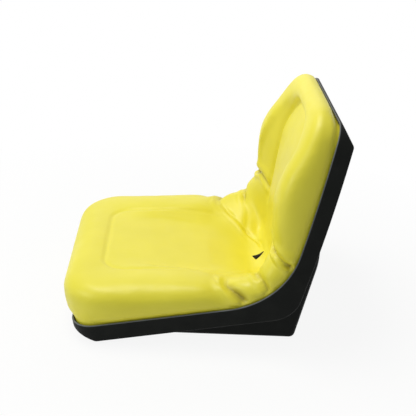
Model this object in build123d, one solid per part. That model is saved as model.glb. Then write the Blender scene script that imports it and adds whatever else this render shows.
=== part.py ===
from build123d import *
import os
from math import cos, degrees, radians, sin, tan

# Bucket seat: a moulded pan, a one-piece foam cushion and four threaded mounting inserts.
# Frame: X across the seat, -Y to the front, +Z up, origin at the middle of the bolt pattern on the foot.
# All lengths are in millimetres and all angles in degrees.

# Lip of the pan, a seat run and a back run joined by a bend
lip_half_width = 238.0
lip_corner_y = 143.4
lip_corner_z = 110.7
seat_rise = 10.5
back_recline = 13.5
lip_bend_radius = 160.0
seat_length = 417.0
back_length = 350.0
back_top_half_width = 172.0
front_corner_radius = 50.0
top_corner_radius = 44.0
lip_round = 1.5

# Tray of the pan, with a short wall and a slope at both ends and a rounded heel
wall = 4.0
tray_depth = 37.0
back_depth = 33.0
front_wall = 14.0
front_slope_run = 46.0
top_wall = 5.0
end_edge_radius = 9.0
skirt_round = 3.0
heel_radius = 60.0

# Foot under the tray, a hollow wedge with a flat base that runs out up the back
foot_half_width = 190.0
foot_front_y = -185.0
foot_heel_y = 182.0
foot_back_tilt = 10.4
foot_knee_z = 172.0
foot_knee_radius = 150.0
foot_top_z = 262.0
foot_corner_radius = 12.0
foot_edge_radius = 8.0
rib_thickness = 3.0
rib_bays = 3
drain_hole_radius = 7.0

# Threaded inserts in the foot, one at each corner of the bolt pattern
bolt_spacing_x = 285.75
bolt_spacing_y = 209.55
insert_radius = 6.0
insert_length = 20.0
insert_bore_radius = 3.4
insert_clearance = 0.1
boss_wall = 4.0
boss_cap = 3.0

# Cushion, resting in the tray and standing proud of the lip
cushion_clearance = 0.4
cushion_front_overhang = 14.0
cushion_top_overhang = 2.0
cushion_front_corner_radius = 96.0
cushion_top_corner_radius = 105.0
seat_crest_z = 131.0
seat_crest_rise = 3.9
back_crest_y = 116.0
back_crest_z = 266.0
back_crest_recline = -1.3
crest_bend_radius = 80.0
shoulder_z = 336.0
shoulder_radius = 175.0
head_recline = 24.0
crown_radius = 32.0
base_round = 8.0

# Hollow of the cushion between its side bolsters, closed by an arch at the top of the back
dish_half_width = 112.0
dish_side_angle = 32.0
dish_side_run = 90.0
seat_dish_z = 103.0
seat_dish_rise = -6.2
back_dish_y = 155.7
back_dish_z = 300.0
back_dish_recline = 5.0
dish_bend_radius = 18.0
arch_half_width = 178.0
arch_spring_z = 250.0
arch_spring_radius = 200.0
arch_top_half_width = 124.0
arch_top_z = 424.0
arch_radius = 90.0

# Sunk panel of the seat, deepest at its front edge
panel_depth = 3.0
panel_half_width = 146.0
panel_front_y = -212.0
panel_rear_y = 60.0
panel_radius = 34.0

# Pleats at the bend, fanned out from the drain slot, by their angle back from straight down
pleat_crest_angles = (-7.0, 36.0, 86.0)
pleat_lip_angles = (18.0, 39.0, 60.0)
pleat_start_angle = 45.0
pleat_crest_half_width = 200.0
pleat_depth = 7.0
pleat_half_width = 8.0
pleat_side_angle = 50.0

# Drain slot at the foot of the hollow
slot_length = 26.0
slot_width = 14.0
slot_tip_width = 3.0
slot_tilt = 50.0
slot_corner_radius = 1.0
slot_run = 100.0

# Reach of the blocks that shape and cut the seat
reach = 600.0
headroom = 300.0
face_tolerance = 0.001


class Bend:
    """Side view line of the seat, a rising seat run and a reclined back run joined by an arc."""

    def __init__(self, corner_y, corner_z, rise, recline, radius):
        self.y = corner_y
        self.z = corner_z
        self.rise = rise
        self.recline = recline
        self.radius = radius
        self.half_turn = tan(radians(90 - rise - recline) / 2)

    @classmethod
    def through(cls, seat_z, rise, back_y, back_z, recline, radius):
        """Bend whose seat run is at seat_z above the origin and whose back run passes one point."""
        slope = tan(radians(rise))
        lean = tan(radians(recline))
        z = (seat_z + slope * (back_y - lean * back_z)) / (1 - slope * lean)
        return cls(back_y + lean * (z - back_z), z, rise, recline, radius)

    def seat(self, along, above):
        """Point along the seat run from the corner, and square above it."""
        angle = radians(self.rise)
        return (
            self.y + along * cos(angle) - above * sin(angle),
            self.z + along * sin(angle) + above * cos(angle),
        )

    def back(self, along, ahead):
        """Point up the back run from the corner, and square ahead of it."""
        angle = radians(self.recline)
        return (
            self.y + along * sin(angle) - ahead * cos(angle),
            self.z + along * cos(angle) + ahead * sin(angle),
        )

    def axis(self):
        """Middle of the arc."""
        return self.seat(-self.radius * self.half_turn, self.radius)

    def at(self, angle, depth=0.0):
        """Point of the line seen from the arc's middle at an angle back from straight down."""
        short = max(self.rise - angle, angle - 90 + self.recline, 0)
        distance = self.radius / cos(radians(short)) + depth
        y, z = self.axis()
        return y + distance * sin(radians(angle)), z - distance * cos(radians(angle))

    def raised(self, height):
        """The same line moved up from the seat and ahead of the back."""
        y, z = self.seat(-height * self.half_turn, height)
        return Bend(y, z, self.rise, self.recline, self.radius - height)

    def under(self):
        """Everything below the seat run and behind the back run."""
        return side_block(
            [
                self.seat(-reach, 0),
                (self.y, self.z),
                self.back(reach, 0),
                self.back(reach, -reach),
                self.seat(reach, -reach),
                self.seat(-reach, -reach),
            ],
            [0, self.radius, 0, 0, 0, 0],
        )

    def over(self):
        """Side view face of the space above the seat run and ahead of the back run."""
        outline = FilletPolyline(
            self.seat(-reach, 0),
            (self.y, self.z),
            self.back(reach, 0),
            self.back(reach, reach),
            radius=[0, self.radius, 0, 0],
            close=True,
        )
        return Plane.YZ * make_face(outline)


lip = Bend(lip_corner_y, lip_corner_z, seat_rise, back_recline, lip_bend_radius)
crest = Bend.through(
    seat_crest_z, seat_crest_rise, back_crest_y, back_crest_z, back_crest_recline, crest_bend_radius
)
dish = Bend.through(seat_dish_z, seat_dish_rise, back_dish_y, back_dish_z, back_dish_recline, dish_bend_radius)

seat_plane = Plane(
    origin=(0, lip.y, lip.z),
    x_dir=(1, 0, 0),
    z_dir=(0, -sin(radians(seat_rise)), cos(radians(seat_rise))),
)
back_plane = Plane(
    origin=(0, lip.y, lip.z),
    x_dir=(1, 0, 0),
    z_dir=(0, -cos(radians(back_recline)), sin(radians(back_recline))),
)


def side_block(points, radii, inset=0.0, half_width=reach):
    """Side view outline with rounded corners, moved inwards and extruded across the seat."""
    outline = make_face(FilletPolyline(*points, radius=radii, close=True))
    if inset:
        outline = offset(outline, amount=-inset)
    return extrude(Plane.YZ * outline, amount=half_width, both=True)


def seat_prism(half_width, front, radius):
    """Plan view outline of the seat, rounded at the front corners, extruded square to the lip."""
    outline = FilletPolyline(
        (-half_width, reach),
        (-half_width, -front),
        (half_width, -front),
        (half_width, reach),
        radius=[0, radius, radius, 0],
        close=True,
    )
    return extrude(seat_plane * make_face(outline), amount=reach, both=True)


def back_prism(half_width, top_half_width, top, radius):
    """Front view outline of the back, drawn in to its rounded top, extruded square to the lip."""
    side = TangentArc((half_width, 0), (top_half_width, top), tangent=(0, 1))
    other_side = mirror(side, about=Plane.YZ)
    lower = Polyline((-half_width, 0), (-half_width, -reach), (half_width, -reach), (half_width, 0))
    across = Line((top_half_width, top), (-top_half_width, top))
    outline = make_face([side, other_side, lower, across])
    top_corners = outline.vertices().sort_by(Axis.Y)[-2:]
    return extrude(back_plane * fillet(top_corners, radius), amount=reach, both=True)


def tray_block(inset):
    """Outer form of the tray moved inwards, running on far above the lip."""
    turn = radians(seat_rise + back_recline)
    front_slope = (tray_depth - front_wall) / front_slope_run
    heel = (back_depth - tray_depth * sin(turn)) / cos(turn)
    side = side_block(
        [
            lip.seat(-seat_length - headroom, headroom),
            lip.seat(-seat_length - headroom, headroom * front_slope - front_wall),
            lip.seat(-seat_length + front_slope_run, -tray_depth),
            lip.seat(heel, -tray_depth),
            lip.back(back_length - back_depth + top_wall, -back_depth),
            lip.back(back_length + headroom, headroom - top_wall),
            lip.back(back_length + headroom, headroom),
        ],
        [0, 0, end_edge_radius, heel_radius, end_edge_radius, 0, 0],
        inset,
    )
    plan = seat_prism(lip_half_width - inset, seat_length - inset, front_corner_radius - inset)
    front = back_prism(
        lip_half_width - inset, back_top_half_width - inset, back_length - inset, top_corner_radius - inset
    )
    block = side & plan & front
    if inset < skirt_round:
        block = fillet(cut_rim(block, side), skirt_round - inset)
    return block


def foot_block(inset):
    """Outer form of the foot moved inwards, running up through the tray."""
    knee_y = foot_heel_y + foot_knee_z * tan(radians(foot_back_tilt))
    block = side_block(
        [
            (foot_front_y, 0),
            (foot_heel_y, 0),
            (knee_y, foot_knee_z),
            (knee_y, foot_top_z),
            (foot_front_y, foot_top_z),
        ],
        [foot_corner_radius, foot_corner_radius, foot_knee_radius, 0, 0],
        inset,
        foot_half_width - inset,
    )
    top = block.faces().sort_by(Axis.Z)[-1].center().Z
    sides = block.faces().filter_by(Axis.X)
    rims = [edge for edge in sides.edges() if edge.center().Z < top - inset - lip_round]
    return fillet(rims, foot_edge_radius - inset)


def bolt_points():
    """Corners of the bolt pattern on the base of the foot."""
    return GridLocations(bolt_spacing_x, bolt_spacing_y, 2, 2)


def cut_rim(solid, block):
    """Edges round the faces of a solid that lie on a block's surface."""
    surface = Shell(block.faces())
    faces = [face for face in solid.faces() if surface.distance_to(Vertex(face.center())) < face_tolerance]
    edges = [edge for face in faces for edge in face.edges()]
    return [edge for edge in edges if sum(edge.is_same(other) for other in edges) == 1]


def stub(radius, length):
    """Upright cylinder that starts on the base of the foot."""
    return Cylinder(radius, length, align=(Align.CENTER, Align.CENTER, Align.MIN))


def make_ribs():
    """Grid of ribs in the foot, running through the bosses."""
    lengthwise = GridLocations(bolt_spacing_x / rib_bays, 0, rib_bays + 1, 1) * Box(rib_thickness, reach, reach)
    crosswise = GridLocations(0, bolt_spacing_y / 2, 1, 3) * Box(reach, rib_thickness, reach)
    return (Part() + lengthwise + crosswise) & foot_block(wall / 2)


def make_pan():
    """Tray and foot as one shell, with ribs and bosses inside and a rounded lip."""
    socket_radius = insert_radius + insert_clearance
    bosses = bolt_points() * stub(socket_radius + boss_wall, insert_length + boss_cap)
    sockets = bolt_points() * stub(socket_radius, insert_length)
    drain = Pos(Y=(bolt_spacing_y / 2 + foot_heel_y) / 2) * stub(drain_hole_radius, wall)
    shell = (tray_block(0) & lip.under()) + (foot_block(0) & lip.under()) - foot_block(wall)
    pan = shell + make_ribs() + bosses - tray_block(wall) - sockets - drain
    return fillet(cut_rim(pan, lip.under()), lip_round)


def make_inserts():
    """Plain threaded sleeves, drilled to the thread's core and seated in their bosses."""
    return Part() + bolt_points() * (stub(insert_radius, insert_length) - stub(insert_bore_radius, insert_length))


def crest_block():
    """Everything under the crest of the seat and behind the crest of the back, drawn back at the head."""
    shoulder = crest.back((shoulder_z - crest.z) / cos(radians(crest.recline)), 0)
    head = (shoulder[0] + reach * tan(radians(head_recline)), shoulder[1] + reach)
    return side_block(
        [
            crest.seat(-reach, 0),
            (crest.y, crest.z),
            shoulder,
            head,
            (reach, head[1]),
            (reach, -reach),
            crest.seat(-reach, -reach),
        ],
        [0, crest.radius, shoulder_radius, 0, 0, 0, 0],
    )


def cushion_block():
    """Cushion before it is hollowed, crowned above the lip and filling the tray below it."""
    base = lip.raised(cushion_clearance)
    above_base = extrude(base.over(), amount=reach, both=True)
    under_crest = crest_block()
    upper = (
        under_crest
        & above_base
        & seat_prism(lip_half_width, seat_length + cushion_front_overhang, cushion_front_corner_radius)
        & back_prism(
            lip_half_width, back_top_half_width, back_length + cushion_top_overhang, cushion_top_corner_radius
        )
    )
    upper = fillet(cut_rim(upper, under_crest), crown_radius)
    upper = fillet(cut_rim(upper, above_base), base_round)
    lower = tray_block(wall + cushion_clearance) & lip.raised(base_round).under()
    return upper + lower


def dish_block():
    """Space of the hollow, level across the middle, sloped up to the bolsters and arched at the top."""
    middle = extrude(dish.over(), amount=dish_half_width, both=True)
    side = extrude(Pos(X=dish_half_width) * dish.over(), amount=dish_side_run, taper=dish_side_angle)
    space = middle + side + mirror(side, about=Plane.YZ)
    arch = FilletPolyline(
        (-arch_half_width, -reach),
        (-arch_half_width, arch_spring_z),
        (-arch_top_half_width, arch_top_z),
        (arch_top_half_width, arch_top_z),
        (arch_half_width, arch_spring_z),
        (arch_half_width, -reach),
        radius=[0, arch_spring_radius, arch_radius, arch_radius, arch_spring_radius, 0],
        close=True,
    )
    return space & extrude(Plane.XZ * make_face(arch), amount=reach, both=True)


def sink_panel(cushion):
    """Cushion with its seat panel tipped in, deepest at the front and level with the hollow at the rear."""
    panel = RectangleRounded(panel_half_width * 2, panel_rear_y - panel_front_y, panel_radius)
    prism = Pos(Y=(panel_front_y + panel_rear_y) / 2) * extrude(panel, amount=reach)
    prism = prism & extrude(lip.over(), amount=reach, both=True)
    hinge = Axis((0, panel_rear_y + panel_radius, seat_dish_z), (1, 0, 0))
    tip = degrees(panel_depth / (panel_rear_y + panel_radius - panel_front_y))
    return (cushion - prism) + (cushion.rotate(hinge, tip) & prism)


def pleat_blade(crest_angle, lip_angle):
    """Wedge that cuts one pleat, from the drain slot over the bolster's crest and down to the lip."""
    slot = Vector(0, *dish.at(pleat_start_angle))
    top = Vector(pleat_crest_half_width, *crest.at(crest_angle, pleat_depth))
    bottom = Vector(lip_half_width - pleat_depth, *lip.at(lip_angle))
    far_side = bottom + (bottom - slot)
    far_top = top + (top - (slot + bottom) / 2).normalized() * reach
    plane = Plane(origin=slot, x_dir=top - slot, z_dir=(top - slot).cross(bottom - slot))
    corners = [plane.to_local_coords(point) for point in (slot, top, bottom, far_side, far_top)]
    face = make_face(Polyline(*[(point.X, point.Y) for point in corners], close=True))
    half = extrude(face, amount=pleat_half_width, taper=pleat_side_angle)
    return plane * (half + mirror(half, about=Plane.XY))


def drain_slot():
    """Tapered slot with its narrow end up the back, cut down through the foot of the hollow."""
    outline = Polyline(
        (-slot_width / 2, -slot_length / 2),
        (slot_width / 2, -slot_length / 2),
        (slot_tip_width / 2, slot_length / 2),
        (-slot_tip_width / 2, slot_length / 2),
        close=True,
    )
    corners = make_face(outline)
    rounded = fillet(corners.vertices(), slot_corner_radius)
    cutter = extrude(rounded, amount=slot_run, both=True)
    return Pos(0, dish.y - slot_length / 2, dish.z) * Rot(X=slot_tilt) * cutter


def make_cushion():
    """One-piece cushion, hollowed, panelled, pleated at the bend and drained."""
    cushion = sink_panel(cushion_block() - dish_block())
    for angles in zip(pleat_crest_angles, pleat_lip_angles):
        blade = pleat_blade(*angles)
        cushion = cushion - blade - mirror(blade, about=Plane.YZ)
    return cushion - drain_slot()


os.makedirs("parts", exist_ok=True)
export_step(make_pan(), "parts/pan.step")
export_step(make_cushion(), "parts/cushion.step")
export_step(make_inserts(), "parts/mounting_inserts.step")
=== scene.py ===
import math

import bmesh
import bpy
import numpy as np
from mathutils import Matrix, Vector


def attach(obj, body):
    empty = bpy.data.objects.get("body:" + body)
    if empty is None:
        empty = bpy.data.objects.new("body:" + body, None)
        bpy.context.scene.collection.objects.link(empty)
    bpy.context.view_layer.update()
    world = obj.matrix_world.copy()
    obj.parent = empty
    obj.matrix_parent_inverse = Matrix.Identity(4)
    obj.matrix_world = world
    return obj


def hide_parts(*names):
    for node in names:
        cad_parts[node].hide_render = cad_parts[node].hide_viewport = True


# Bucket seat: a yellow vinyl cushion in a black moulded pan, on a pale floor.
# Lengths are in metres, in the frame of the CAD model: X across, -Y to the front, +Z up.

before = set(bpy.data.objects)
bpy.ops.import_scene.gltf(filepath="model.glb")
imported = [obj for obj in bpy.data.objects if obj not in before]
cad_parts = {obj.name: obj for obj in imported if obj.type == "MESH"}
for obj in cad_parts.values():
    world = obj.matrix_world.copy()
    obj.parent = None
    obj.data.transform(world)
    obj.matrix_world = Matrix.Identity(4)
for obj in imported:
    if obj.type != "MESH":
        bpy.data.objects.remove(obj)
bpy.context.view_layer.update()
scene = bpy.context.scene


# Side view lines of the seat

class Bend:
    """A rising seat run and a reclined back run joined by an arc, in the side view."""

    def __init__(self, y, z, rise, recline, radius):
        self.rise = math.radians(rise)
        self.recline = math.radians(recline)
        self.radius = radius
        half_turn = math.tan((math.pi / 2 - self.rise - self.recline) / 2)
        run = np.array((math.cos(self.rise), math.sin(self.rise)))
        self.up = np.array((-math.sin(self.rise), math.cos(self.rise)))
        self.ahead = np.array((-math.cos(self.recline), math.sin(self.recline)))
        self.axis = np.array((y, z)) - run * radius * half_turn + self.up * radius

    def height(self, co):
        """How far points stand above the seat run and ahead of the back run."""
        p = co[:, 1:] - self.axis
        angle = np.arctan2(p[:, 0], -p[:, 1])
        on_seat = self.radius + p @ self.up
        on_back = self.radius + p @ self.ahead
        in_bend = self.radius - np.hypot(p[:, 0], p[:, 1])
        lower = angle < self.rise
        upper = angle > math.pi / 2 - self.recline
        return np.where(lower, on_seat, np.where(upper, on_back, in_bend))

    def at(self, angle):
        """Point of the line at an angle about the arc's middle."""
        turn = math.radians(angle)
        short = max(self.rise - turn, turn - math.pi / 2 + self.recline, 0)
        far = self.radius / math.cos(short)
        return self.axis + far * np.array((math.sin(turn), -math.cos(turn)))


def bend_through(seat_z, rise, back_y, back_z, recline, radius):
    """Bend whose seat run is at seat_z above the origin and whose back run passes one point."""
    slope = math.tan(math.radians(rise))
    lean = math.tan(math.radians(recline))
    z = (seat_z + slope * (back_y - lean * back_z)) / (1 - slope * lean)
    return Bend(back_y + lean * (z - back_z), z, rise, recline, radius)


# The pan's lip and the cushion's hollow, as in the CAD model, and the rounder hollow of the soft skin
lip = Bend(0.1434, 0.1107, 10.5, 13.5, 0.160)
dish = bend_through(0.103, -6.2, 0.1557, 0.300, 5.0, 0.018)
bowl = bend_through(0.100, -12.0, 0.1557, 0.300, 5.0, 0.040)


# Mesh helpers

def points(mesh):
    co = np.empty(len(mesh.vertices) * 3)
    mesh.vertices.foreach_get("co", co)
    return co.reshape(-1, 3)


def set_points(mesh, co):
    mesh.vertices.foreach_set("co", np.ascontiguousarray(co, np.float32).ravel())
    mesh.update()


def normals(mesh):
    n = np.empty(len(mesh.vertices) * 3)
    mesh.vertex_normals.foreach_get("vector", n)
    return n.reshape(-1, 3)


def edge_list(mesh):
    e = np.empty(len(mesh.edges) * 2, np.int64)
    mesh.edges.foreach_get("vertices", e)
    return e.reshape(-1, 2)


def smooth_step(low, high, value):
    t = np.clip((value - low) / (high - low), 0, 1)
    return t * t * (3 - 2 * t)


def relax(co, edges, weight, times, back=0.0):
    """Points moved towards their neighbours' middle, and a share of that back to keep the form full."""
    a, b = edges[:, 0], edges[:, 1]
    count = len(co)
    degree = np.maximum(np.bincount(edges.ravel(), minlength=count), 1)
    for step in (0.5, -0.5 * back) * times if back else (0.5,) * times:
        mean = np.stack(
            [
                (np.bincount(a, co[b, k], count) + np.bincount(b, co[a, k], count)) / degree
                for k in range(3)
            ],
            -1,
        )
        co = co + (step * weight)[:, None] * (mean - co)
    return co


def new_object(name, mesh):
    obj = bpy.data.objects.new(name, mesh)
    scene.collection.objects.link(obj)
    return obj


def applied(obj):
    """The object's mesh with its modifiers applied, put in place of its own."""
    graph = bpy.context.evaluated_depsgraph_get()
    mesh = bpy.data.meshes.new_from_object(obj.evaluated_get(graph))
    old = obj.data
    obj.modifiers.clear()
    obj.data = mesh
    bpy.data.meshes.remove(old)
    return obj


# Cushion

SLOT_LENGTH, SLOT_WIDTH, SLOT_TIP, SLOT_TILT, SLOT_TURN = 0.026, 0.021, 0.004, 30.0, 22.0
SLOT_PLACE = (0.0, 0.1195, 0.0855)
VOXEL = 0.006


def slot_plug():
    """Filling for the drain slot, level with the hollow, so that the remesh leaves the slot out."""
    arc = [dish.at(angle) for angle in np.linspace(-70, 165, 60)]
    line = [p for p in arc if p[0] > 0.092 and p[1] < 0.135]
    outline = line + [np.array((0.170, 0.135)), np.array((0.170, 0.050)), np.array((0.092, 0.050))]
    bm = bmesh.new()
    rings = [[bm.verts.new((x, p[0], p[1])) for p in outline] for x in (-0.0095, 0.0095)]
    bm.faces.new(rings[0])
    bm.faces.new(reversed(rings[1]))
    for i in range(len(outline)):
        j = (i + 1) % len(outline)
        bm.faces.new((rings[0][i], rings[1][i], rings[1][j], rings[0][j]))
    bmesh.ops.recalc_face_normals(bm, faces=bm.faces)
    return bm


def cushion_form(name):
    """Even mesh of the cushion's solid, with its slot filled."""
    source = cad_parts["cushion"]
    bm = slot_plug()
    bm.from_mesh(source.data)
    bmesh.ops.remove_doubles(bm, verts=bm.verts, dist=1e-6)
    mesh = bpy.data.meshes.new(name)
    bm.to_mesh(mesh)
    bm.free()
    obj = new_object(name, mesh)
    remesh = obj.modifiers.new("even", "REMESH")
    remesh.mode = "VOXEL"
    remesh.voxel_size = VOXEL
    remesh.use_smooth_shade = True
    return applied(obj)


def along(path, count=64):
    """Points evenly spread on a smooth line through a path's points."""
    p = np.array(path, float)
    p = np.vstack([2 * p[0] - p[1], p, 2 * p[-1] - p[-2]])
    t = np.linspace(0, len(path) - 1 - 1e-9, count)
    i = t.astype(int)
    u = (t - i)[:, None]
    a, b, c, d = p[i], p[i + 1], p[i + 2], p[i + 3]
    square, cube = 2 * a - 5 * b + 4 * c - d, 3 * b - a - 3 * c + d
    return 0.5 * (2 * b + (c - a) * u + square * u ** 2 + cube * u ** 3)


def beside(co, n, path):
    """Distance to a line on either half of the seat, positive in front, and the share of the line there."""
    line = along(path)
    fold = np.where(co[:, :1] < 0, -1, 1) * (1, 0, 0) + (0, 1, 1)
    half, out = co * fold, n * fold
    signed = np.full(len(co), 1e9)
    share = np.zeros(len(co))
    for k in range(len(line) - 1):
        run = line[k + 1] - line[k]
        t = np.clip((half - line[k]) @ run / (run @ run), 0, 1)
        off = half - line[k] - t[:, None] * run
        far = np.linalg.norm(off, axis=1)
        side = np.einsum("ij,ij->i", off, np.cross(run, out))
        near = far < np.abs(signed)
        signed = np.where(near, np.where(side < 0, -far, far), signed)
        share = np.where(near, (k + t) / (len(line) - 1), share)
    return signed, share


# Creases at the bend on one side of the seat, from the hollow over the bolster to the lip.
# Each has its path, depth, width, height of the ridge in front and behind, and strength along the way.
CREASES = (
    (
        (
            (0.004, 0.132, 0.094), (0.054, 0.124, 0.090), (0.083, 0.107, 0.091), (0.120, 0.078, 0.099),
            (0.140, 0.062, 0.113), (0.165, 0.042, 0.128), (0.192, 0.033, 0.133), (0.209, 0.036, 0.133),
            (0.226, 0.048, 0.127), (0.236, 0.065, 0.113), (0.238, 0.072, 0.102),
        ),
        0.0130, 0.0092, 0.0066, 0.0020, (0.0, 0.1, 0.1, 0.1, 0.1, 0.18, 0.5, 0.95, 1.15, 1.0, 0.4),
    ),
    (
        (
            (0.045, 0.100, 0.090), (0.080, 0.098, 0.094), (0.110, 0.098, 0.101), (0.140, 0.100, 0.114),
            (0.160, 0.097, 0.127), (0.176, 0.093, 0.142), (0.192, 0.089, 0.153),
            (0.217, 0.093, 0.154), (0.229, 0.100, 0.148), (0.236, 0.108, 0.139), (0.238, 0.115, 0.130),
        ),
        0.0105, 0.0068, 0.0032, 0.0020, (0.0, 0.15, 0.2, 0.25, 0.35, 0.6, 0.9, 1.0, 1.1, 1.0, 0.4),
    ),
    (
        (
            (0.100, 0.146, 0.186), (0.118, 0.143, 0.196), (0.139, 0.131, 0.208), (0.160, 0.121, 0.216),
            (0.178, 0.121, 0.212), (0.193, 0.125, 0.204), (0.209, 0.132, 0.198), (0.221, 0.142, 0.191),
            (0.229, 0.149, 0.187), (0.237, 0.157, 0.181),
        ),
        0.0125, 0.0058, 0.0038, 0.0055, (0.1, 0.3, 0.5, 0.7, 0.9, 1.1, 1.2, 1.1, 0.8, 0.4),
    ),
    (
        (
            (0.160, 0.112, 0.186), (0.184, 0.113, 0.189), (0.205, 0.115, 0.190), (0.228, 0.124, 0.181),
            (0.236, 0.133, 0.170),
        ),
        0.0026, 0.0042, 0.0, 0.0, (0.0, 0.8, 1.0, 0.9, 0.2),
    ),
    (
        (
            (0.158, 0.006, 0.128), (0.172, 0.010, 0.131), (0.186, 0.014, 0.128), (0.202, 0.018, 0.123),
            (0.214, 0.023, 0.116),
        ),
        0.0016, 0.0040, 0.0, 0.0, (0.0, 0.8, 1.0, 0.7, 0.0),
    ),
    (
        ((0.237, 0.084, 0.120), (0.237, 0.093, 0.121), (0.236, 0.103, 0.123), (0.236, 0.112, 0.130)),
        0.0028, 0.0034, 0.0, 0.0, (0.0, 0.9, 1.0, 0.2),
    ),
    (
        ((0.237, 0.032, 0.098), (0.237, 0.042, 0.097), (0.236, 0.052, 0.098), (0.236, 0.062, 0.104)),
        0.0028, 0.0034, 0.0, 0.0, (0.0, 0.9, 1.0, 0.2),
    ),
)
# Sharp inner edge of the back's bolster, with its height, width and strength along the way
CREST = (
    (
        (0.132, 0.138, 0.385), (0.150, 0.122, 0.345), (0.165, 0.117, 0.300), (0.168, 0.114, 0.255),
        (0.160, 0.114, 0.222),
    ),
    0.0050, 0.0100, (0.0, 0.5, 1.0, 1.0, 0.6),
)
# Line over the hollow on the far side, from the slot to the bolster, with its depth, width and strength
FAR_LINE = (
    (
        (0.010, 0.128, 0.093), (0.054, 0.124, 0.090), (0.083, 0.107, 0.091), (0.120, 0.078, 0.102),
        (0.140, 0.062, 0.115), (0.165, 0.042, 0.128),
    ),
    0.0045, 0.0045, (0.3, 0.8, 1.0, 1.0, 0.9, 0.5),
)
# Half width, end and corner radius of the seat's and the back's panels
SEAT_PANEL = (0.138, 0.211, 0.046)
BACK_PANEL = (0.114, 0.428, 0.086)
# Depth of the groove round each panel, how far the seat's panel sinks and how far the back's panel swells
SEAT_GROOVE, SEAT_SINK = 0.0024, 0.0030
BACK_GROOVE, BACK_SWELL = 0.0065, 0.0040
# Height of the raised top of the back, and how far the top and the recess in it lean back
TOP_RAISE, TOP_LEAN, RECESS_LEAN = 0.010, 0.015, 0.010
# How far the edge at the lip rolls in
ROLLED_EDGE = 0.0020
# Heights over the pan's lip below which the cushion is merged, and above which it is refined
HIDDEN, SHOWN = -0.012, -0.010
# Half width of the hollow inside the lip, and how thick the cushion counts as its top there
HOLLOW_HALF_WIDTH, HOLLOW_DEPTH = 0.200, 0.024
SWELL_FRAMES, SWELL_LIMIT = 14, 0.006
# Depth of a fold at which the shade painted into it is full
FOLD_DEPTH_AT_FULL_SHADE = 0.012


def strength(share, values):
    return np.interp(share, np.linspace(0, 1, len(values)), values)


def rounded_box(u, v, half_width, top, radius):
    """Signed distance to a shape with straight sides, a straight top and rounded top corners."""
    du = np.abs(u) - half_width + radius
    dv = v - top + radius
    return np.hypot(np.maximum(du, 0), np.maximum(dv, 0)) + np.minimum(np.maximum(du, dv), 0) - radius


def hump(distance, width):
    return np.exp(-(distance / width) ** 2)


def panels(co, above):
    """Distances to the edges of the seat's and the back's panels, and how far each panel has faded out."""
    seat = rounded_box(co[:, 0], -co[:, 1], *SEAT_PANEL)
    back = rounded_box(co[:, 0], co[:, 2], *BACK_PANEL)
    on_seat = smooth_step(0.070, 0.010, co[:, 1]) * smooth_step(0.020, 0.050, above)
    on_back = smooth_step(0.150, 0.200, co[:, 2]) * smooth_step(0.000, 0.020, above)
    return seat, back, on_seat, on_back


def near_folds(co, n, reach):
    """How near points are to the creases, from 0 to 1."""
    near = np.zeros(len(co))
    for path, *_, values in CREASES:
        signed, share = beside(co, n, path)
        near = np.maximum(near, np.minimum(strength(share, values), 1) * hump(signed, reach))
    return near


def crease_height(co, n):
    """Height of the folds over the plain form of the cushion, and how far down in a fold each point is, as
    the mask of the shade painted into the folds.
    """
    height, shade = np.zeros(len(co)), np.zeros(len(co))
    for path, depth, width, front, behind, values in CREASES:
        signed, share = beside(co, n, path)
        across = np.where(signed > 0, signed / (0.85 * width), signed / (1.1 * width))
        fold = front * hump(signed - 1.8 * width, width) + behind * hump(signed + 2.6 * width, 2.0 * width)
        valley = strength(share, values) * np.exp(-np.abs(across) ** 1.5)
        height += strength(share, values) * fold - depth * valley
        # Mask of the shade painted into the folds, growing with each fold's depth
        shade = np.maximum(shade, valley * depth / FOLD_DEPTH_AT_FULL_SHADE)
    path, depth, width, values = FAR_LINE
    signed, share = beside(co, n, path)
    line = depth * strength(share, values) * smooth_step(0.000, -0.020, co[:, 0])
    height += line * (0.5 * hump(signed - 1.8 * width, width) - hump(signed, width))
    path, rise, width, values = CREST
    signed, share = beside(co, n, path)
    height += rise * strength(share, values) * hump(signed, width)
    return height, shade


def into_bowl(co):
    """Points of the hollow's sharp corner moved to a round and deeper bowl, most of all in the middle."""
    p = co[:, 1:] - bowl.axis
    angle, far = np.degrees(np.arctan2(p[:, 0], -p[:, 1])), np.maximum(np.hypot(p[:, 0], p[:, 1]), 1e-6)
    line = np.array([dish.at(turn) for turn in np.linspace(-85, 170, 240)]) - bowl.axis
    turns = np.degrees(np.arctan2(line[:, 0], -line[:, 1]))
    before = np.interp(angle, turns, np.hypot(line[:, 0], line[:, 1]))
    after = np.interp(angle, turns, [np.hypot(*(bowl.at(turn) - bowl.axis)) for turn in turns])
    weight = hump(co[:, 0], 0.105) * hump(far - before, 0.022)
    weight *= smooth_step(-0.040, 0.060, co[:, 1]) * smooth_step(0.20, 0.14, co[:, 2])
    moved = co.copy()
    moved[:, 1:] += p * (weight * (after - before) / far)[:, None]
    return moved


def clear_of_pan(co):
    """How far points stand over the pan's lip, or how well they lie in the top of the hollow inside it."""
    inside = HOLLOW_HALF_WIDTH - np.abs(co[:, 0])
    return np.maximum(lip.height(co), np.minimum(inside, dish.height(co) + HOLLOW_DEPTH))


def even_slope(co, inside=0.080, outside=0.194):
    """Points of the bolsters at the bend moved to an even slope from the hollow to the bolsters' crowns."""
    half = np.abs(co[:, 0])
    top = (clear_of_pan(co) > 0.005) & (co[:, 2] < 0.175)

    def height_at(x):
        near = np.nonzero(top & (np.abs(half - x) < 0.004))[0]
        near = near[np.argsort(co[near, 1])]
        return np.interp(co[:, 1], co[near, 1], co[near, 2])

    low, high = height_at(inside), height_at(outside)
    share = np.clip((half - inside) / (outside - inside), 0, 1)
    weight = top * smooth_step(0.000, 0.045, co[:, 1]) * smooth_step(0.130, 0.095, co[:, 1])
    weight *= (half > inside) & (half < outside)
    moved = co.copy()
    moved[:, 2] += weight * (low + (high - low) * share - co[:, 2])
    return moved


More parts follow.
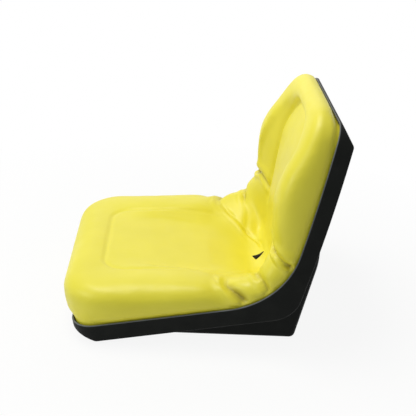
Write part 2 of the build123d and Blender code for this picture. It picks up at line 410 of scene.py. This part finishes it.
def swollen(mesh, held):
    """How far each point of a skin moves when it is blown up from inside, kept under a limit."""
    obj = new_object("skin_trial", mesh)
    start = points(mesh)
    links = edge_list(mesh)
    group = obj.vertex_groups.new(name="held")
    for level in range(1, 11):
        members = np.nonzero(np.round(held * 10).astype(int) == level)[0]
        group.add(members.tolist(), level / 10, "REPLACE")
    cloth = obj.modifiers.new("swell", "CLOTH")
    cloth.settings.quality = 5
    cloth.settings.mass = 0.4
    cloth.settings.tension_stiffness = 25
    cloth.settings.compression_stiffness = 25
    cloth.settings.shear_stiffness = 10
    cloth.settings.bending_stiffness = 2
    cloth.settings.use_pressure = True
    cloth.settings.uniform_pressure_force = 4
    cloth.settings.effector_weights.gravity = 0
    cloth.settings.vertex_group_mass = "held"
    cloth.collision_settings.use_collision = False
    cloth.point_cache.frame_start = 1
    cloth.point_cache.frame_end = SWELL_FRAMES
    for number in range(1, SWELL_FRAMES + 1):
        scene.frame_set(number)
    graph = bpy.context.evaluated_depsgraph_get()
    move = points(obj.evaluated_get(graph).data) - start
    scene.frame_set(1)
    bpy.data.objects.remove(obj)
    size = np.linalg.norm(move, axis=1, keepdims=True)
    move = move * np.minimum(1, SWELL_LIMIT / np.maximum(size, 1e-9))
    return relax(move, links, np.ones(len(move)), 8)


def upper_skin(mesh, keep):
    """The faces of a mesh whose corners are all kept, and the places of their corners in the old mesh."""
    faces = [list(face.vertices) for face in mesh.polygons]
    faces = [face for face in faces if keep[face].all()]
    used = np.unique(np.concatenate(faces))
    place = np.full(len(keep), -1)
    place[used] = np.arange(len(used))
    skin = bpy.data.meshes.new("skin_trial")
    skin.from_pydata(points(mesh)[used].tolist(), [], [place[face].tolist() for face in faces])
    return skin, used


def refine(obj, wanted):
    """Splits the edges between wanted points in two."""
    bm = bmesh.new()
    bm.from_mesh(obj.data)
    bm.verts.ensure_lookup_table()
    edges = [edge for edge in bm.edges if wanted[edge.verts[0].index] and wanted[edge.verts[1].index]]
    bmesh.ops.subdivide_edges(bm, edges=edges, cuts=1, use_grid_fill=True)
    bm.to_mesh(obj.data)
    bm.free()


def merge_hidden(obj, hidden):
    """Joins the small flat faces between hidden points into large ones."""
    bm = bmesh.new()
    bm.from_mesh(obj.data)
    verts = [vert for vert in bm.verts if hidden[vert.index]]
    edges = [edge for edge in bm.edges if hidden[edge.verts[0].index] and hidden[edge.verts[1].index]]
    bmesh.ops.dissolve_limit(bm, angle_limit=math.radians(6), verts=verts, edges=edges)
    bmesh.ops.triangulate(bm, faces=[face for face in bm.faces if len(face.verts) > 4])
    bm.to_mesh(obj.data)
    bm.free()


def plain_form(mesh):
    """Softens the cushion, rounds its hollow and leans its top. Gives its points, heights and freedom."""
    edges = edge_list(mesh)
    co = points(mesh)
    above = lip.height(co)
    head = smooth_step(0.20, 0.27, co[:, 2])
    free = smooth_step(-0.003 * head, 0.014 - 0.006 * head, above)
    co = relax(co, edges, free, 10)
    folds = smooth_step(-0.03, 0.02, co[:, 1]) * smooth_step(0.27, 0.22, co[:, 2])
    co = relax(co, edges, 0.9 * free * folds, 26)
    co = relax(co, edges, free * head, 40, 0.80)
    co = into_bowl(co)
    corner = hump(co[:, 0], 0.130) * hump(np.hypot(co[:, 1] - 0.095, co[:, 2] - 0.100), 0.065)
    co = relax(co, edges, free * corner, 30)
    inner = hump(np.abs(co[:, 0]) - 0.140, 0.060) * hump(co[:, 1] - 0.070, 0.055)
    inner *= smooth_step(0.18, 0.14, co[:, 2])
    co = even_slope(co)
    co = relax(co, edges, smooth_step(0.000, 0.014, clear_of_pan(co)) * inner, 50)
    co[:, 2] += TOP_RAISE * smooth_step(0.385, 0.450, co[:, 2]) * smooth_step(0.000, 0.016, above)
    co[:, 1] += TOP_LEAN * smooth_step(0.29, 0.47, co[:, 2]) * smooth_step(0.000, 0.075, above)
    set_points(mesh, co)
    return co, above, free


def blow_up(mesh, co, above, free):
    """Blows the skin up between the creases and the panels' edges, where it is held."""
    seat, back, on_seat, on_back = panels(co, above)
    held = np.maximum(1 - smooth_step(0.004, 0.030, above), near_folds(co, normals(mesh), 0.009))
    held = np.maximum(held, 0.8 * on_seat * hump(seat, 0.010))
    held = np.maximum(held, on_back * hump(back, 0.012))
    skin, used = upper_skin(mesh, above > HIDDEN)
    co[used] += swollen(skin, held[used]) * free[used, None]
    set_points(mesh, co)


def finer(obj):
    """Finer mesh where the cushion is seen, and finer again at the folds, the back's panel and the slot."""
    merge_hidden(obj, clear_of_pan(points(obj.data)) < HIDDEN)
    refine(obj, clear_of_pan(points(obj.data)) > SHOWN)
    co = points(obj.data)
    above = clear_of_pan(co)
    co = relax(co, edge_list(obj.data), smooth_step(-0.004, 0.006, above), 4)
    set_points(obj.data, co)
    _, back, _, on_back = panels(co, above)
    wanted = near_folds(co, normals(obj.data), 0.012) > 0.28
    wanted |= on_back * hump(back, 0.010) > 0.3
    wanted |= (np.abs(co[:, 0]) < 0.014) & (co[:, 1] > 0.085) & (co[:, 2] < 0.125) & (above > -0.03)
    refine(obj, wanted & (above > 0.001))
    co = points(obj.data)
    above = clear_of_pan(co)
    co = relax(co, edge_list(obj.data), smooth_step(0.000, 0.008, above), 2)
    set_points(obj.data, co)
    return co, above


def add_folds(mesh, co, above):
    """Moves points along their normals for folds, panels and the rolled edge, and stores the mask of the
    shade painted into the folds.
    """
    n = normals(mesh)
    seat, back, on_seat, on_back = panels(co, above)
    height, shade = crease_height(co, n)
    height -= on_seat * (SEAT_GROOVE * hump(seat, 0.0055) + SEAT_SINK * smooth_step(0.010, -0.060, seat))
    height -= BACK_GROOVE * on_back * hump(back, 0.0075)
    height += BACK_SWELL * on_back * smooth_step(0.004, -0.026, back)
    co = co + n * (height * smooth_step(0.000, 0.010, above))[:, None]
    co[:, 1] += RECESS_LEAN * smooth_step(0.34, 0.43, co[:, 2]) * smooth_step(0.030, -0.020, back)
    rolled = smooth_step(0.014, 0.000, above) * smooth_step(-0.0115, -0.006, above)
    co -= n * (ROLLED_EDGE * rolled)[:, None]
    set_points(mesh, co)
    # The fold attribute carries the mask of the shade painted into the vinyl's folds
    mesh.attributes.new("fold", "FLOAT", "POINT").data.foreach_set("value", shade.astype(np.float32))


cushion = cushion_form("cushion_skin")
co, above, free = plain_form(cushion.data)
blow_up(cushion.data, co, above, free)
co, above = finer(cushion)
add_folds(cushion.data, co, above)


def slot_cutter(name):
    """Tapered plug with its narrow end up the back, that cuts the drain slot."""
    outline = (
        (-SLOT_WIDTH / 2, -SLOT_LENGTH / 2),
        (SLOT_WIDTH / 2, -SLOT_LENGTH / 2),
        (SLOT_TIP / 2, SLOT_LENGTH / 2),
        (-SLOT_TIP / 2, SLOT_LENGTH / 2),
    )
    bm = bmesh.new()
    rings = [[bm.verts.new((x, y, z)) for x, y in outline] for z in (-0.014, 0.040)]
    bm.faces.new(reversed(rings[0]))
    bm.faces.new(rings[1])
    for i in range(4):
        bm.faces.new((rings[0][i], rings[0][i - 3], rings[1][i - 3], rings[1][i]))
    bmesh.ops.recalc_face_normals(bm, faces=bm.faces)
    mesh = bpy.data.meshes.new(name)
    bm.to_mesh(mesh)
    bm.free()
    cutter = new_object(name, mesh)
    turn = Matrix.Rotation(math.radians(SLOT_TURN), 4, "Z")
    tilt = Matrix.Rotation(math.radians(SLOT_TILT), 4, "X")
    cutter.matrix_world = Matrix.Translation(SLOT_PLACE) @ (turn @ tilt)
    return cutter


# Materials

# Width of the painted highlight line along the pan's lip
LIP_HIGHLIGHT_WIDTH = 0.0018


def material(name):
    made = bpy.data.materials.new(name)
    made.use_nodes = True
    tree = made.node_tree
    return made, tree, tree.nodes["Principled BSDF"]


def node(tree, kind, **values):
    made = tree.nodes.new(kind)
    for key, value in values.items():
        if key in made.inputs:
            made.inputs[key].default_value = value
        else:
            setattr(made, key, value)
    return made


def ramp(tree, fac, low, high, first, last):
    """Colours from first to last as a value goes from low to high."""
    made = tree.nodes.new("ShaderNodeValToRGB")
    made.color_ramp.elements[0].position = low
    made.color_ramp.elements[1].position = high
    made.color_ramp.elements[0].color = first
    made.color_ramp.elements[1].color = last
    tree.links.new(fac, made.inputs["Fac"])
    return made.outputs["Color"]


def noise(tree, scale, detail=3.0, rough=0.5):
    """Noise in the frame of the part, so that it doesn't depend on a mesh's own coordinates."""
    place = tree.nodes.new("ShaderNodeTexCoord")
    made = node(tree, "ShaderNodeTexNoise", Scale=scale, Detail=detail, Roughness=rough)
    tree.links.new(place.outputs["Object"], made.inputs["Vector"])
    return made.outputs["Fac"]


def bumped(tree, shader, layers):
    """Bumps of several sizes laid over each other, given as (height, distance, strength)."""
    before = None
    for height, distance, force in layers:
        bump = node(tree, "ShaderNodeBump", Distance=distance, Strength=force)
        tree.links.new(height, bump.inputs["Height"])
        if before:
            tree.links.new(before, bump.inputs["Normal"])
        before = bump.outputs["Normal"]
    tree.links.new(before, shader.inputs["Normal"])


def make_vinyl():
    """Yellow with a fine grain, and painted shade: darker brown towards the bottoms of the folds."""
    made, tree, shader = material("yellow_vinyl")
    colour = ramp(tree, noise(tree, 9.0, 2.0), 0.35, 0.65, (0.80, 0.712, 0.042, 1), (0.84, 0.750, 0.054, 1))
    fold = node(tree, "ShaderNodeAttribute", attribute_name="fold")
    fold_shade_mix = node(tree, "ShaderNodeMix", data_type="RGBA")
    depth = ramp(tree, fold.outputs["Fac"], 0.18, 0.95, (0, 0, 0, 1), (0.85, 0.85, 0.85, 1))
    tree.links.new(depth, fold_shade_mix.inputs["Factor"])
    tree.links.new(colour, fold_shade_mix.inputs["A"])
    # Painted shade: the dark brown blended in at the bottoms of the folds
    fold_shade_mix.inputs["B"].default_value = (0.30, 0.235, 0.045, 1)
    tree.links.new(fold_shade_mix.outputs["Result"], shader.inputs["Base Color"])
    rough = ramp(tree, noise(tree, 60.0), 0.3, 0.7, (0.38, 0.38, 0.38, 1), (0.46, 0.46, 0.46, 1))
    tree.links.new(rough, shader.inputs["Roughness"])
    place = tree.nodes.new("ShaderNodeTexCoord")
    grain = node(tree, "ShaderNodeTexVoronoi", feature="SMOOTH_F1", Scale=620.0, Smoothness=0.6)
    tree.links.new(place.outputs["Object"], grain.inputs["Vector"])
    bumped(tree, shader, ((noise(tree, 38.0), 0.0010, 0.12), (grain.outputs["Distance"], 0.0003, 0.22)))
    return made


def maths(tree, operation, *values):
    made = node(tree, "ShaderNodeMath", operation=operation)
    for socket, value in zip(made.inputs, values):
        if isinstance(value, (int, float)):
            socket.default_value = value
        else:
            tree.links.new(value, socket)
    return made.outputs[0]


def lip_height(tree):
    """Height over the pan's lip, as Bend.height has it, made of shader nodes."""
    place = tree.nodes.new("ShaderNodeTexCoord")
    split = tree.nodes.new("ShaderNodeSeparateXYZ")
    tree.links.new(place.outputs["Object"], split.inputs[0])
    y = maths(tree, "SUBTRACT", split.outputs["Y"], float(lip.axis[0]))
    down = maths(tree, "SUBTRACT", float(lip.axis[1]), split.outputs["Z"])
    angle = maths(tree, "ARCTAN2", y, down)
    on_arc = maths(tree, "MINIMUM", maths(tree, "MAXIMUM", angle, lip.rise), math.pi / 2 - lip.recline)
    far = maths(tree, "SQRT", maths(tree, "ADD", maths(tree, "POWER", y, 2), maths(tree, "POWER", down, 2)))
    past = maths(tree, "COSINE", maths(tree, "SUBTRACT", angle, on_arc))
    return maths(tree, "SUBTRACT", lip.radius, maths(tree, "MULTIPLY", far, past))


def make_plastic():
    """Black with a fine texture, and a painted highlight: paler along the edge of the lip, where its
    rounded edge catches the light.
    """
    made, tree, shader = material("black_plastic")
    dark, pale = (0.0055, 0.0064, 0.0057, 1), (0.0090, 0.0100, 0.0091, 1)
    colour = ramp(tree, noise(tree, 30.0), 0.35, 0.7, dark, pale)
    painted_lip_highlight = node(tree, "ShaderNodeMix", data_type="RGBA")
    # Mask of the painted highlight: a thin band at the top of the lip
    edge = maths(tree, "MULTIPLY_ADD", lip_height(tree), 1 / LIP_HIGHLIGHT_WIDTH, 1.0)
    tree.links.new(ramp(tree, edge, 0.0, 0.8, (0, 0, 0, 1), (1, 1, 1, 1)), painted_lip_highlight.inputs["Factor"])
    tree.links.new(colour, painted_lip_highlight.inputs["A"])
    # Painted highlight: the pale grey of the lip's edge
    painted_lip_highlight.inputs["B"].default_value = (0.16, 0.17, 0.18, 1)
    tree.links.new(painted_lip_highlight.outputs["Result"], shader.inputs["Base Color"])
    rough = ramp(tree, noise(tree, 90.0), 0.3, 0.7, (0.42, 0.42, 0.42, 1), (0.55, 0.55, 0.55, 1))
    tree.links.new(rough, shader.inputs["Roughness"])
    shader.inputs["Specular IOR Level"].default_value = 0.09
    bumped(tree, shader, ((noise(tree, 950.0, 2.0), 0.0003, 0.35),))
    return made


def make_steel():
    made, tree, shader = material("insert_steel")
    colour = ramp(tree, noise(tree, 240.0), 0.35, 0.7, (0.55, 0.55, 0.53, 1), (0.66, 0.66, 0.63, 1))
    tree.links.new(colour, shader.inputs["Base Color"])
    shader.inputs["Metallic"].default_value = 1.0
    rough = ramp(tree, noise(tree, 400.0), 0.3, 0.7, (0.28, 0.28, 0.28, 1), (0.42, 0.42, 0.42, 1))
    tree.links.new(rough, shader.inputs["Roughness"])
    return made


def make_slot_wall_shade():
    made, tree, shader = material("slot_foam_painted_shade")
    # Painted shade: the foam of the slot's walls is coloured near black for the shade inside the slot
    colour = ramp(tree, noise(tree, 300.0), 0.35, 0.7, (0.020, 0.017, 0.012, 1), (0.060, 0.052, 0.040, 1))
    tree.links.new(colour, shader.inputs["Base Color"])
    shader.inputs["Roughness"].default_value = 0.9
    return made


def dress(obj, made):
    obj.data.materials.clear()
    obj.data.materials.append(made)


def cut_slot(obj):
    """Cuts the drain slot, with its walls' foam painted near black for the shade inside the slot."""
    cutter = slot_cutter("slot_cutter")
    dress(cutter, make_slot_wall_shade())
    cut = obj.modifiers.new("slot", "BOOLEAN")
    cut.operation = "DIFFERENCE"
    cut.solver = "EXACT"
    cut.material_mode = "TRANSFER"
    cut.object = cutter
    applied(obj)
    bpy.data.objects.remove(cutter)


dress(cushion, make_vinyl())
dress(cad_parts["pan"], make_plastic())
dress(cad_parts["mounting_inserts"], make_steel())
cut_slot(cushion)
cushion.data.shade_smooth()
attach(cushion, "root")
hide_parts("cushion")


# Floor, light and camera

# The floor is white to the eye in these shares near the part and from FLOOR_FAR on
FLOOR_NEAR, FLOOR_FAR, FLOOR_WHITE_NEAR, FLOOR_WHITE_FAR = 0.35, 0.95, 0.90, 1.0
FLOOR_SIZE, FLOOR_DROP = 12, 0.0005


def mixed(tree, share, first, second):
    mix = tree.nodes.new("ShaderNodeMixShader")
    for socket, source in zip(mix.inputs, (share, first, second)):
        tree.links.new(source, socket)
    return mix.outputs["Shader"]


def looked_at(tree):
    """1 for rays from the camera, and for what is mirrored or seen through something, else 0."""
    rays = tree.nodes.new("ShaderNodeLightPath")
    seen = maths(tree, "ADD", rays.outputs["Is Camera Ray"], rays.outputs["Is Glossy Ray"])
    return maths(tree, "MINIMUM", maths(tree, "ADD", seen, rays.outputs["Is Transmission Ray"]), 1.0)


def make_floor():
    """White to the eye with a soft shadow, plain grey to the light it throws back, and clear from below."""
    made, tree, shader = material("pale_floor")
    shader.inputs["Base Color"].default_value = (0.88, 0.88, 0.88, 1)
    shader.inputs["Roughness"].default_value = 0.9
    place = tree.nodes.new("ShaderNodeTexCoord")
    far = node(tree, "ShaderNodeVectorMath", operation="LENGTH")
    tree.links.new(place.outputs["Object"], far.inputs[0])
    level = tree.nodes.new("ShaderNodeMapRange")
    for socket, value in zip(level.inputs[1:5], (FLOOR_NEAR, FLOOR_FAR, FLOOR_WHITE_NEAR, FLOOR_WHITE_FAR)):
        socket.default_value = value
    tree.links.new(far.outputs["Value"], level.inputs["Value"])
    share = maths(tree, "MULTIPLY", looked_at(tree), level.outputs["Result"])
    white = node(tree, "ShaderNodeEmission", Color=(1, 1, 1, 1), Strength=1.0)
    top = mixed(tree, share, shader.outputs["BSDF"], white.outputs["Emission"])
    below = tree.nodes.new("ShaderNodeNewGeometry").outputs["Backfacing"]
    clear = tree.nodes.new("ShaderNodeBsdfTransparent").outputs["BSDF"]
    tree.links.new(mixed(tree, below, top, clear), tree.nodes["Material Output"].inputs["Surface"])
    return made


bm = bmesh.new()
bmesh.ops.create_grid(bm, x_segments=1, y_segments=1, size=FLOOR_SIZE)
floor_mesh = bpy.data.meshes.new("floor")
bm.to_mesh(floor_mesh)
bm.free()
floor = new_object("floor", floor_mesh)
floor.location.z = -FLOOR_DROP
dress(floor, make_floor())

world = bpy.data.worlds.new("studio")
scene.world = world
world.use_nodes = True
background = world.node_tree.nodes["Background"]
background.inputs["Color"].default_value = (0.93, 1.0, 0.94, 1)
background.inputs["Strength"].default_value = 0.28
white = node(world.node_tree, "ShaderNodeBackground", Color=(1, 1, 1, 1), Strength=1.0)
sky = mixed(world.node_tree, looked_at(world.node_tree), background.outputs[0], white.outputs[0])
world.node_tree.links.new(sky, world.node_tree.nodes["World Output"].inputs["Surface"])


def area_light(name, place, target, size, power, colour=(1, 1, 1)):
    data = bpy.data.lights.new(name, "AREA")
    data.shape = "SQUARE"
    data.size = size
    data.energy = power
    data.color = colour
    obj = bpy.data.objects.new(name, data)
    scene.collection.objects.link(obj)
    obj.location = place
    obj.rotation_euler = (Vector(target) - Vector(place)).to_track_quat("-Z", "Y").to_euler()


area_light("key", (-0.3, -0.7, 2.15), (0, 0, 0.15), 1.1, 28.3, (1.0, 0.97, 0.90))
area_light("front", (0.7, -1.7, 1.1), (0, 0.1, 0.25), 0.8, 9.0, (0.96, 1.0, 0.94))
area_light("far", (-2.2, -0.2, 1.2), (0, 0, 0.15), 1.6, 4)

# Camera of the photograph: its angles in degrees, its distance and aim, and its focal length in pixels
CAMERA_AZIMUTH, CAMERA_ELEVATION, CAMERA_TILT = 88.6, 25.5, 3.5
CAMERA_DISTANCE, CAMERA_AIM, CAMERA_PIXELS, IMAGE_PIXELS = 1.704, 0.1949, 797.0, 416.0

a, e = math.radians(CAMERA_AZIMUTH), math.radians(CAMERA_ELEVATION)
behind = Vector((math.sin(a) * math.cos(e), -math.cos(a) * math.cos(e), math.sin(e)))
right = Vector((math.cos(a), math.sin(a), 0))
up = behind.cross(right)
tilt = Matrix.Rotation(math.radians(CAMERA_TILT), 3, "X")
axes = Matrix((tilt @ right, tilt @ up, tilt @ behind)).transposed().to_4x4()
camera_data = bpy.data.cameras.new("camera")
camera_data.sensor_width = 36.0
camera_data.lens = CAMERA_PIXELS / IMAGE_PIXELS * camera_data.sensor_width
camera = bpy.data.objects.new("camera", camera_data)
scene.collection.objects.link(camera)
place = tilt @ behind * CAMERA_DISTANCE + Vector((0, 0, CAMERA_AIM))
camera.matrix_world = Matrix.Translation(place) @ axes
scene.camera = camera
scene.view_settings.view_transform = "Standard"
